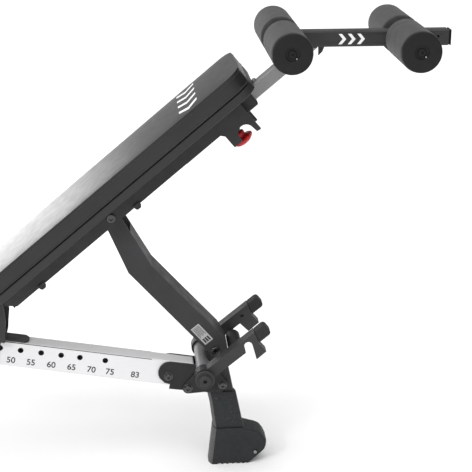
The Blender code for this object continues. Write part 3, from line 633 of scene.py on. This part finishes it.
def make_knob():
    place = beam_point(0.752, 0.0)
    down = -OUTWARD
    profile = [
        (0.0470, 0.0030),
        (0.0490, 0.0045),
        (0.0830, 0.0045),
        (0.0832, 0.0125),
        (0.0850, 0.0148),
        (0.0900, 0.0150),
        (0.0945, 0.0138),
        (0.0972, 0.0150),
        (0.0990, 0.0200),
        (0.1005, 0.0255),
        (0.1028, 0.0280),
        (0.1062, 0.0284),
        (0.1095, 0.0268),
        (0.1130, 0.0228),
        (0.1160, 0.0165),
        (0.1180, 0.0095),
        (0.1190, 0.0030),
    ]

    def lobes(ring, angle):
        if 9 <= ring <= 13:
            return 1.0 - 0.055 * (0.5 - 0.5 * cos(8 * angle)) ** 2
        return 1.0

    knob = lathe("red_knob", place, down, profile, RED, "pull_pin", 96,
                 shape=lobes, smooth=50)
    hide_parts("red_pull_knob")
    barrel = [(0.0573, 0.0050), (0.0573, 0.0115), (0.0580, 0.0120), (0.0640, 0.0120), (0.0645, 0.0108)]
    barrel += [(0.0660, 0.0108), (0.0665, 0.0120), (0.0785, 0.0120), (0.0800, 0.0105), (0.0800, 0.0050)]
    guide = lathe("pin_guide", place, down, barrel, OXIDE, "backrest", 48, closed=True)
    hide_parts("pull_pin_barrel")


def make_pop_pin():
    low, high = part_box("pop_pin")
    centre = Vector(((low.x + high.x) / 2, high.y, (low.z + high.z) / 2))
    profile = [
        (0.0, 0.0042),
        (0.0010, 0.0050),
        (0.0255, 0.0050),
        (0.0255, 0.0110),
        (0.0275, 0.0160),
        (0.0300, 0.0184),
        (0.0330, 0.0190),
        (0.0400, 0.0190),
        (0.0430, 0.0184),
        (0.0455, 0.0150),
        (0.0459, 0.0080),
    ]

    def grip(ring, angle):
        return 1.0 - 0.06 * (0.5 - 0.5 * cos(10 * angle)) if 5 <= ring <= 8 else 1.0

    pin = lathe("pop_pin_knob", centre, (0, -1, 0), profile, PLASTIC, "pop_pin", 80,
                shape=grip)
    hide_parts("pop_pin")


def make_wheels():
    for label, side in SIDES:
        low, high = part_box("transport_wheel_" + label)
        centre = joint_place(f"wheel_{label}_spin")
        inner, outer = sorted((abs(low.y), abs(high.y)))
        width = outer - inner
        radius = (high.z - low.z) / 2
        profile = [(0.0, 0.0065), (0.0, 0.0130), (0.0030, 0.0140), (0.0030, 0.0210), (0.0, 0.0225)]
        profile += [(0.0, radius - 0.0040), (0.0012, radius - 0.0012), (0.0040, radius)]
        profile += [(width * 0.40, radius), (width * 0.42, radius - 0.0010), (width * 0.58, radius - 0.0010)]
        profile += [(width * 0.60, radius), (width - 0.0040, radius), (width - 0.0012, radius - 0.0012)]
        profile += [(width, radius - 0.0040), (width, 0.0225), (width - 0.0030, 0.0210)]
        profile += [(width - 0.0030, 0.0140), (width, 0.0130), (width, 0.0065)]
        start = Vector((centre.x, side * inner, centre.z))
        wheel = lathe("wheel_" + label + "_tyre", start, (0, side, 0), profile, RUBBER, "wheel_" + label, 80,
                      closed=True)
        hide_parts("transport_wheel_" + label)


# The front foot

FOOT_LEVELS = (
    (0.0000, 0.2717, 0.3712),
    (0.0038, 0.2720, 0.3762),
    (0.0042, 0.2721, 0.3766),
    (0.0120, 0.2730, 0.3865),
    (0.0240, 0.2744, 0.4000),
    (0.0340, 0.2755, 0.4110),
    (0.0420, 0.2763, 0.4178),
    (0.0520, 0.2775, 0.4212),
    (0.0600, 0.2785, 0.4220),
    (0.0680, 0.2794, 0.4205),
    (0.0760, 0.2803, 0.4165),
    (0.0840, 0.2812, 0.4110),
    (0.0900, 0.2819, 0.4060),
    (0.0950, 0.2825, 0.3960),
    (0.1000, 0.2830, 0.3790),
    (0.1040, 0.2834, 0.3660),
    (0.1065, 0.2837, 0.3600),
    (0.1080, 0.2839, 0.3585),
)
SLEEVE_LEVELS = (
    (0.1083, 0.2839, 0.3580),
    (0.1260, 0.2818, 0.3550),
    (0.1480, 0.2790, 0.3507),
    (0.1830, 0.2746, 0.3437),
    (0.2125, 0.2686, 0.3382),
    (0.2152, 0.2694, 0.3366),
)


def foot_section(left, right, half, corner, strip, near_nip, far_nip):
    """A section of the moulding: a narrow strip on the left, flat sides, and chamfered right corners."""
    def one_side(nip, shoulder):
        points = [(left - strip, -half * 0.45), (left - strip * 0.55, -half * 0.72), (left, -half + 0.0006)]
        points.append((left + 0.0008, -half))
        steps = 52
        start, end = left + 0.0008, right - nip - corner
        points += [(start + (end - start) * i / steps, -half) for i in range(1, steps + 1)]
        points += arc((end, corner - half), corner, -75, -15, 4)
        points.append((right, -half * shoulder))
        return points

    near = one_side(near_nip, 0.50)
    far = [(x, -y) for x, y in reversed(one_side(far_nip, -0.30 if far_nip > 0.004 else 0.50))]
    return near + far


def hollow_depth(x, z):
    """How far the foot's flat sides dip: a bowl low down, and a step under the ridge."""
    bowl = 0.0080 * max(0.0, 1 - ((x - 0.362) / 0.046) ** 2 - ((z - 0.050) / 0.038) ** 2)
    step = 0.0016 if z < 0.1030 else 0.0
    return bowl + step


def notch_depth(x, z):
    """How far the gaps between the teeth reach into the foot's lower edge."""
    if z > 0.0040 or not 0.288 < x < 0.366:
        return 0.0
    return 0.014 if ((x - 0.288) / 0.0147) % 1.0 < 0.55 else 0.0


def paint_strip(piece, lit_strip_look):
    """Gives the narrow left strip its own look: painted light, paler as a face lit from the left."""
    piece.data.materials.append(lit_strip_look)
    for polygon in piece.data.polygons:
        # faces turned to the left get the painted light
        if polygon.normal.x < -0.80:
            polygon.material_index = 1


def make_foot():
    bm = bmesh.new()
    rings = []
    for z, left, right in FOOT_LEVELS:
        corner = min(0.006, (right - left) * 0.2)
        ring = []
        for x, y in foot_section(left, right, 0.0350, corner, 0.009, 0.0015, 0.0015):
            side = 1 if y > 0 else -1
            dip = hollow_depth(x, z) + notch_depth(x, z)
            ring.append(Vector((x, y - side * dip if abs(y) > 0.0335 else y, z)))
        rings.append(ring)
    loft(bm, rings)
    foot = shown("front_foot", bm, FOOT, "frame", 26)
    paint_strip(foot, FOOT_LIT_STRIP)
    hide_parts("foot_moulding")
    bm = bmesh.new()
    rings = []
    for z, left, right in SLEEVE_LEVELS:
        half = 0.0310 if z < 0.214 else 0.0300
        ring = []
        for x, y in foot_section(left, right, half, 0.002, 0.008, 0.0012, 0.0062):
            drop = max(0.0, y + half) * 0.17 * max(0.0, (z - 0.1830) / 0.032)
            ring.append(Vector((x, y, z - drop)))
        rings.append(ring)
    loft(bm, rings)
    sleeve = shown("foot_sleeve", bm, SLEEVE, "frame", 26)
    paint_strip(sleeve, FOOT_LIT_STRIP)
    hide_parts("leg_sleeve")


# Pads

def rounded_plan(span, half, corner, lower_corner, inset=0.0, steps=8):
    a0, a1 = span[0] + inset, span[1] - inset
    reach = half - inset
    upper = arc((a1 - corner, reach - corner), corner, 90, 0, steps)
    upper += arc((a1 - corner, corner - reach), corner, 0, -90, steps)
    lower = arc((a0 + lower_corner, lower_corner - reach), lower_corner, 270, 180, steps // 2)
    lower += arc((a0 + lower_corner, reach - lower_corner), lower_corner, 180, 90, steps // 2)
    return upper + lower


def cushion_rows(span, half, corners, pitch=0.009):
    """Rows across a pad with rounded corners: each one's place along it and half its width."""
    upper, lower = corners
    turns = [radians(angle) for angle in (0, 12, 26, 42, 60, 78, 90)]
    low_end = [(span[0] + lower * (1 - cos(t)), half - lower * (1 - sin(t))) for t in turns]
    high_end = [(span[1] - upper * (1 - cos(t)), half - upper * (1 - sin(t))) for t in turns]
    start, end = low_end[-1][0], high_end[-1][0]
    count = int((end - start) / pitch)
    middle = [(start + (end - start) * i / count, half) for i in range(1, count)]
    return low_end + middle + high_end[::-1]


def cushion_mesh(place, span, half, corners, levels):
    """A closed cover on a regular grid: a top panel, side panels down through the levels, and a flat base."""
    rows = cushion_rows(span, half, corners)
    welt = 0.0016 / half
    columns = [-1, welt - 1] + [-1 + 2 * i / 30 for i in range(1, 30)] + [1 - welt, 1]
    bm = bmesh.new()
    top = [[bm.verts.new(place(a, levels[0], w * t)) for t in columns] for a, w in rows]
    base = [[bm.verts.new(place(a, levels[-1], w * t)) for t in columns] for a, w in rows]
    for sheet in (top, base):
        for row, following in zip(sheet, sheet[1:]):
            for i in range(len(columns) - 1):
                bm.faces.new((row[i], row[i + 1], following[i + 1], following[i]))
    rings = [sheet_rim(top)]
    for level in levels[1:-1]:
        drop = place(0, level) - place(0, levels[0])
        rings.append([bm.verts.new(v.co + drop) for v in rings[0]])
    rings.append(sheet_rim(base))
    for ring, following in zip(rings, rings[1:]):
        for i in range(len(ring)):
            bm.faces.new((ring[i - 1], ring[i], following[i], following[i - 1]))
    return bm


def sheet_rim(sheet):
    rim = [row[-1] for row in sheet] + sheet[-1][-2::-1]
    return rim + [row[0] for row in sheet[-2::-1]] + sheet[0][1:-1]


def evaluated_mesh(piece):
    bpy.context.view_layer.update()
    graph = bpy.context.evaluated_depsgraph_get()
    return bpy.data.meshes.new_from_object(piece.evaluated_get(graph), depsgraph=graph)


def inflate(piece, held, cap, pressure):
    """Blows the cover up a little: held() says which points are sewn down, and no point moves beyond cap."""
    group = piece.vertex_groups.new(name="sewn")
    group.add([v.index for v in piece.data.vertices if held(v.co)], 1.0, "REPLACE")
    cloth = piece.modifiers.new("cloth", "CLOTH")
    settings = cloth.settings
    settings.quality = 8
    settings.mass = 0.3
    settings.tension_stiffness = 15
    settings.compression_stiffness = 15
    settings.shear_stiffness = 5
    settings.bending_stiffness = 0.5
    settings.use_pressure = True
    settings.uniform_pressure_force = pressure
    settings.vertex_group_mass = "sewn"
    settings.effector_weights.gravity = 0
    cloth.point_cache.frame_start = 1
    cloth.point_cache.frame_end = 20
    for number in range(1, 21):
        bpy.context.scene.frame_set(number)
    moved = evaluated_mesh(piece)
    piece.modifiers.clear()
    for vertex, end in zip(piece.data.vertices, moved.vertices):
        shift = end.co - vertex.co
        reach = shift.length
        if reach > 1e-6:
            vertex.co += shift * (cap * (1 - exp(-reach / cap)) / reach)
    bpy.data.meshes.remove(moved)
    bpy.context.scene.frame_set(1)


def make_cushion(name, node, place, span, half, corners, layers, body, cap):
    """A stuffed pad on its board: flat underneath, crisp at its sewn upper edge, and crowned on top."""
    low, high = layers
    low += 0.0006
    steps = [high - (high - low) * i / 5 for i in range(1, 5)]
    bm = cushion_mesh(place, span, half, corners, [high, high - 0.0016] + steps + [low])
    piece = shown(name, bm, VINYL, None, 60)

    def held(co):
        height = height_in(place, co)
        if height < low + 0.004:
            return True
        across = abs(co.y) > half - 0.0008
        return high - 0.0030 < height and (across or at_end(place, co, span, half, corners))

    inflate(piece, held, cap, 4.0)
    for polygon in piece.data.polygons:
        polygon.use_smooth = True
    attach(piece, body)
    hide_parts(node)
    finer = piece.modifiers.new("finer", "SUBSURF")
    finer.levels = 1
    finer.render_levels = 1
    return piece


def at_end(place, point, span, half, corners):
    """Whether a point of the top panel lies on its outline, at the ends or round a corner."""
    along = (point - place(0, 0)).dot((place(1, 0) - place(0, 0)).normalized())
    for corner, distance in ((corners[0], span[1] - along), (corners[1], along - span[0])):
        if distance < 0.0008:
            return True
        if distance < corner:
            turn = acos(min(1.0, (corner - distance) / corner))
            if abs(point.y) > half - corner * (1 - sin(turn)) - 0.0008:
                return True
    return False


def height_in(place, point):
    origin = place(0, 0)
    up = (place(0, 1) - origin).normalized()
    return (point - origin).dot(up)


def surface_of(piece):
    mesh = evaluated_mesh(piece)
    tree = BVHTree.FromPolygons([v.co for v in mesh.vertices], [p.vertices[:] for p in mesh.polygons])
    bpy.data.meshes.remove(mesh)
    return tree


def resample(points, spacing):
    """Even steps round a closed line."""
    points = points + [points[0]]
    steps = [(b - a).length for a, b in zip(points, points[1:])]
    count = int(sum(steps) / spacing)
    pace = sum(steps) / count
    found, index, done = [], 0, 0.0
    for i in range(count):
        target = i * pace
        while done + steps[index] < target:
            done += steps[index]
            index += 1
        found.append(points[index].lerp(points[index + 1], (target - done) / steps[index]))
    return found


def seam_line(place, span, half, corners, height, tree, spacing=0.006):
    """Points on the cover's side at this height, all the way round, with the way out at each."""
    wide = [place(a, height, y) for a, y in rounded_plan(span, half, corners[0], corners[1], -0.02, 12)]
    middle = place((span[0] + span[1]) / 2, height)
    found = []
    line = resample(wide, spacing)
    for number, point in enumerate(line):
        ahead, behind = line[(number + 1) % len(line)], line[number - 1]
        up = (place(0, 1) - place(0, 0)).normalized()
        way = (ahead - behind).cross(up).normalized()
        if way.dot(middle - point) < 0:
            way = -way
        hit, normal, _, _ = tree.ray_cast(point, way)
        if hit:
            found.append((hit, -way))
    return found


def make_seam(name, line, radius, look, body):
    """A thin rolled edge sewn round the cover."""
    bm = bmesh.new()
    rings = []
    count = len(line)
    for number, (point, out) in enumerate(line):
        ahead = line[(number + 1) % count][0]
        behind = line[number - 1][0]
        way = (ahead - behind).normalized()
        side = way.cross(out).normalized()
        centre = point + out * radius * 0.15
        rings.append([centre + out * radius * cos(a) + side * radius * sin(a)
                      for a in [2 * pi * i / 8 for i in range(8)]])
    loft(bm, rings, closed=True)
    return shown(name, bm, look, body, 60)


def make_stitches(name, line, drop, body):
    """A row of short stitches beside a seam."""
    bm = bmesh.new()
    count = len(line)
    for number in range(count):
        point, out = line[number]
        ahead = line[(number + 1) % count][0]
        way = ahead - point
        if way.length > 0.02:
            continue
        start = point + way * 0.12 + drop + out * 0.0003
        end = point + way * 0.72 + drop + out * 0.0003
        side = way.cross(out).normalized() * 0.00045
        corners = (side, out * 0.0006, -side, out * -0.0006)
        stations = ((start, 0.3), ((start + end) / 2, 1.0), (end, 0.3))
        loft(bm, [[centre + corner * size for corner in corners] for centre, size in stations])
    return shown(name, bm, THREAD, body, 60)


def make_pads():
    plan = PAD_SPAN, PAD_HALF, (0.040, 0.018)
    pad = make_cushion("back_cushion", "back_pad", beam_point, *plan, PAD_LAYERS, "backrest", 0.0075)
    tree = surface_of(pad)
    top = seam_line(beam_point, *plan, 0.0592, tree)
    make_seam("back_top_seam", top, 0.0008, VINYL, "backrest")
    make_stitches("back_top_stitches", top, OUTWARD * -0.0026, "backrest")
    bottom = seam_line(beam_point, *plan, 0.0262, tree)
    make_seam("back_bottom_seam", bottom, 0.0010, VINYL, "backrest")
    make_pad_mark(tree)

    plan = SEAT_SPAN, SEAT_HALF, (0.062, 0.020)
    pad = make_cushion("seat_cushion", "seat_pad", seat_point, *plan, SEAT_LAYERS, "seat", 0.0075)
    tree = surface_of(pad)
    top = seam_line(seat_point, *plan, -0.0082, tree)
    make_seam("seat_top_seam", top, 0.0008, VINYL, "seat")
    make_stitches("seat_top_stitches", top, SEAT_UP * -0.0026, "seat")
    bottom = seam_line(seat_point, *plan, -0.0405, tree)
    make_seam("seat_bottom_seam", bottom, 0.0010, VINYL, "seat")


def make_pad_base():
    """The moulded tray under the back pad, with a rounded lip round its upper edge."""
    bm = bmesh.new()
    rings = []
    for inset, level in ((0.0040, -0.0013), (0.0012, -0.0013), (0.0, 0.0), (0.0, 0.0175), (0.0004, 0.0190),
                         (0.0016, 0.0198), (0.0030, 0.0206), (0.0044, 0.0212), (0.0070, 0.0213)):
        plan = rounded_plan(TRAY_SPAN, TRAY_HALF, 0.040, 0.020, inset)
        rings.append([beam_point(a, level, y) for a, y in plan])
    loft(bm, rings)
    tray = shown("pad_tray", bm, TRAY, "backrest", 35)
    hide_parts("pad_base_shell")


# Prints

def chevrons(size, count, gap):
    """The two bars of each plain arrowhead in a row of them, in a frame one size high."""
    found = []
    thick, reach = size * 0.34, size * 0.42
    for number in range(count):
        left = number * gap
        tip = left + reach
        found.append([(left, 0.0), (left + thick, 0.0), (tip + thick, size / 2), (tip, size / 2)])
        found.append([(tip, size / 2), (tip + thick, size / 2), (left + thick, size), (left, size)])
    return found


def make_pad_mark(tree):
    """A plain printed row of arrowheads near the top of the back pad, following its crown."""
    bm = bmesh.new()
    down = -OUTWARD
    for outline in chevrons(0.057, 4, 0.058):
        bm.faces.new([bm.verts.new((a, b, 0)) for a, b in outline])
    bmesh.ops.subdivide_edges(bm, edges=bm.edges[:], cuts=7, use_grid_fill=True)
    for vertex in bm.verts:
        start = beam_point(0.682 + vertex.co.y, 0.10, 0.103 - vertex.co.x)
        hit = tree.ray_cast(start, down)[0]
        vertex.co = (hit if hit else start + down * 0.035) + OUTWARD * 0.0004
    shown("pad_mark", bm, WHITE_INK, "backrest", 60)


def make_bar_mark():
    """A plain printed row of arrowheads on the near side of the roller bar."""
    bm = bmesh.new()
    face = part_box("roller_bar")[0].y - 0.0002
    size = 0.026

    def place(a, b, h):
        return Vector((0.594 + a, face - h, 1.1495 + b))

    for outline in chevrons(size, 3, 0.0235):
        plate(bm, place, outline, 0.0, 0.0002)
    shown("bar_mark", bm, WHITE_INK, "extension", 40)


def make_rail_numbers():
    """The angle scale printed on both sides of the rail, one number for each hole."""
    shift = 0.084
    for label, along in rail_holes():
        for tag, side in SIDES:
            curve = bpy.data.curves.new(f"scale_{label}_{tag}", "FONT")
            curve.body = str(label)
            curve.size = 0.0235
            curve.extrude = 0.00012
            curve.align_x = "CENTER"
            curve.align_y = "CENTER"
            curve.offset = 0.0003
            text = bpy.data.objects.new(f"scale_{label}_{tag}", curve)
            bpy.context.scene.collection.objects.link(text)
            curve.materials.append(BLACK_PRINT_AND_SHADE)
            right = RAIL_ALONG * -side
            columns = (right, RAIL_UP, ACROSS * side)
            matrix = Matrix([[c[i] for c in columns] for i in range(3)]).to_4x4()
            matrix.translation = rail_point(along + shift, -0.052, side * (RAIL_HALF + 0.00025))
            text.matrix_world = matrix
            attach(text, "frame")


def rail_holes():
    """Where each hole is along the rail: the pin's place at rest, moved as the linkage moves the hinge."""
    def in_rail(point):
        away = point - RAIL_TOP
        return away.dot(RAIL_ALONG), away.dot(RAIL_UP)

    joints = ("carriage_hinge", "backrest_tilt", "strut_swing")
    hinge, middle, lower = (in_rail(joint_place(name)) for name in joints)
    crank = hypot(middle[0] - hinge[0], middle[1] - hinge[1])
    link = hypot(middle[0] - lower[0], middle[1] - lower[1])
    start = atan2(middle[1] - hinge[1], middle[0] - hinge[0])

    def distance(angle):
        turn = start + radians(angle - REST_ANGLE)
        rise = crank * sin(turn) + hinge[1] - lower[1]
        return crank * cos(turn) + sqrt(link * link - rise * rise)

    return [(angle, HOLE_ORIGIN - distance(angle)) for angle in PAD_ANGLES]


def make_rail_details():
    """A dark collar in every hole, on both sides, and a dark strip under the rail's upper corners: painted
    shade for the shadow line there.
    """
    bm = bmesh.new()
    inner, outer = 0.0056, 0.0076
    profile = [(-0.0080, inner), (0.0000, inner), (0.0002, inner + 0.0002), (0.0002, outer - 0.0002)]
    profile += [(0.0000, outer), (-0.0080, inner + 0.0004)]
    for _, along in rail_holes():
        for _, side in SIDES:
            start = rail_point(along, -HOLE_DEPTH, side * (RAIL_HALF + 0.00002))
            loft(bm, lathe_rings(start, (0, side, 0), profile, 32), closed=True)
    shown("rail_collars", bm, PLASTIC, "frame", 40)
    bm = bmesh.new()
    # painted shade: a dark strip standing for the shadow line under the rail's upper corners
    for _, side in SIDES:
        def place(along, up, height, side=side):
            return rail_point(along, up, side * (RAIL_HALF + 0.00002 + height))

        line = [(-0.83, -0.0024), (0.115, -0.0024), (0.115, -0.0009), (-0.83, -0.0009)]
        plate(bm, place, line, 0.0, 0.0002)
    shown("rail_shadow_lines", bm, BLACK_PRINT_AND_SHADE, "frame", 40)


def make_sticker():
    """A small plain data plate on the strut's near cheek: a pale ground, grey rules and a dark block."""
    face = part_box("strut")[0].y - 0.0002
    corner = Vector((0.2168, 0, 0.4050))
    along = Vector((0.0385, 0, -0.0445))
    up = Vector((0.0205, 0, 0.0165))

    def place(a, b, h):
        return corner + along * a + up * b + Vector((0, face - h, 0))

    bm = bmesh.new()
    plate(bm, place, [(0, 0), (1, 0), (1, 1), (0, 1)], 0.0, 0.0002)
    shown("data_plate", bm, PLATE_GROUND, "strut", 40)
    bm = bmesh.new()
    for number in range(7):
        low = 0.12 + number * 0.115
        end = 0.62 - 0.05 * (number % 3)
        rule = [(0.05, low), (end, low), (end, low + 0.05), (0.05, low + 0.05)]
        plate(bm, place, rule, 0.00022, 0.00030)
    for number in range(3):
        low = 0.15 + number * 0.26
        block = [(0.70, low), (0.94, low), (0.94, low + 0.19), (0.70, low + 0.19)]
        plate(bm, place, block, 0.00022, 0.00030)
    shown("data_plate_rules", bm, BLACK_PRINT_AND_SHADE, "strut", 40)


# Stage

def make_stage():
    bm = bmesh.new()
    bmesh.ops.create_grid(bm, x_segments=2, y_segments=2, size=40)
    mesh = bpy.data.meshes.new("floor")
    bm.to_mesh(mesh)
    bm.free()
    floor = bpy.data.objects.new("floor", mesh)
    bpy.context.scene.collection.objects.link(floor)
    look = Look("floor_white", 0.9, specular=0.0)
    look.drive("Base Color", look.mixed(look.noise(2, 2), (0.955, 0.955, 0.955), (0.97, 0.97, 0.97)))
    mesh.materials.append(look.material)

    world = bpy.data.worlds.new("studio")
    bpy.context.scene.world = world
    world.use_nodes = True
    background = world.node_tree.nodes["Background"]
    background.inputs["Color"].default_value = (1, 1, 1, 1)
    background.inputs["Strength"].default_value = 0.58


def add_panel(name, place, target, size, power):
    """A large soft panel, which lights the bench and shows in its shine but not behind it."""
    data = bpy.data.lights.new(name, "AREA")
    data.shape = "RECTANGLE"
    data.size, data.size_y = size
    data.energy = power
    light = bpy.data.objects.new(name, data)
    bpy.context.scene.collection.objects.link(light)
    light.location = place
    light.rotation_euler = (Vector(target) - Vector(place)).to_track_quat("-Z", "Y").to_euler()
    light.visible_camera = False
    return light


def make_lights():
    data = bpy.data.lights.new("key", "SUN")
    data.energy = 2.15
    data.angle = radians(70)
    key = bpy.data.objects.new("key", data)
    bpy.context.scene.collection.objects.link(key)
    key.rotation_euler = Vector((-0.24, -0.30, 0.92)).to_track_quat("Z", "Y").to_euler()
    add_panel("pad_panel", (-1.8, 3.0, 0.60), (0.0, 0.0, 0.75), (2.0, 1.2), 27)
    add_panel("glint", (-1.7, -2.4, 2.3), (0.1, 0.0, 0.5), (0.5, 0.5), 22)


def make_camera():
    data = bpy.data.cameras.new("camera")
    data.lens = 99.15
    data.sensor_width = 36.0
    data.dof.use_dof = False
    camera = bpy.data.objects.new("camera", data)
    bpy.context.scene.collection.objects.link(camera)
    camera.location = (0.08, -3.212, 1.718)
    camera.rotation_euler = (radians(71.61), 0, radians(-4.63))
    bpy.context.scene.camera = camera


def main():
    bpy.context.scene.view_settings.view_transform = "Standard"
    make_camera()
    make_stage()
    make_lights()
    dress_frame()
    make_bolts()
    make_hub()
    make_rollers()
    make_knob()
    make_pop_pin()
    make_wheels()
    make_foot()
    make_pad_base()
    make_pads()
    make_bar_mark()
    make_rail_numbers()
    make_rail_details()
    make_sticker()


main()
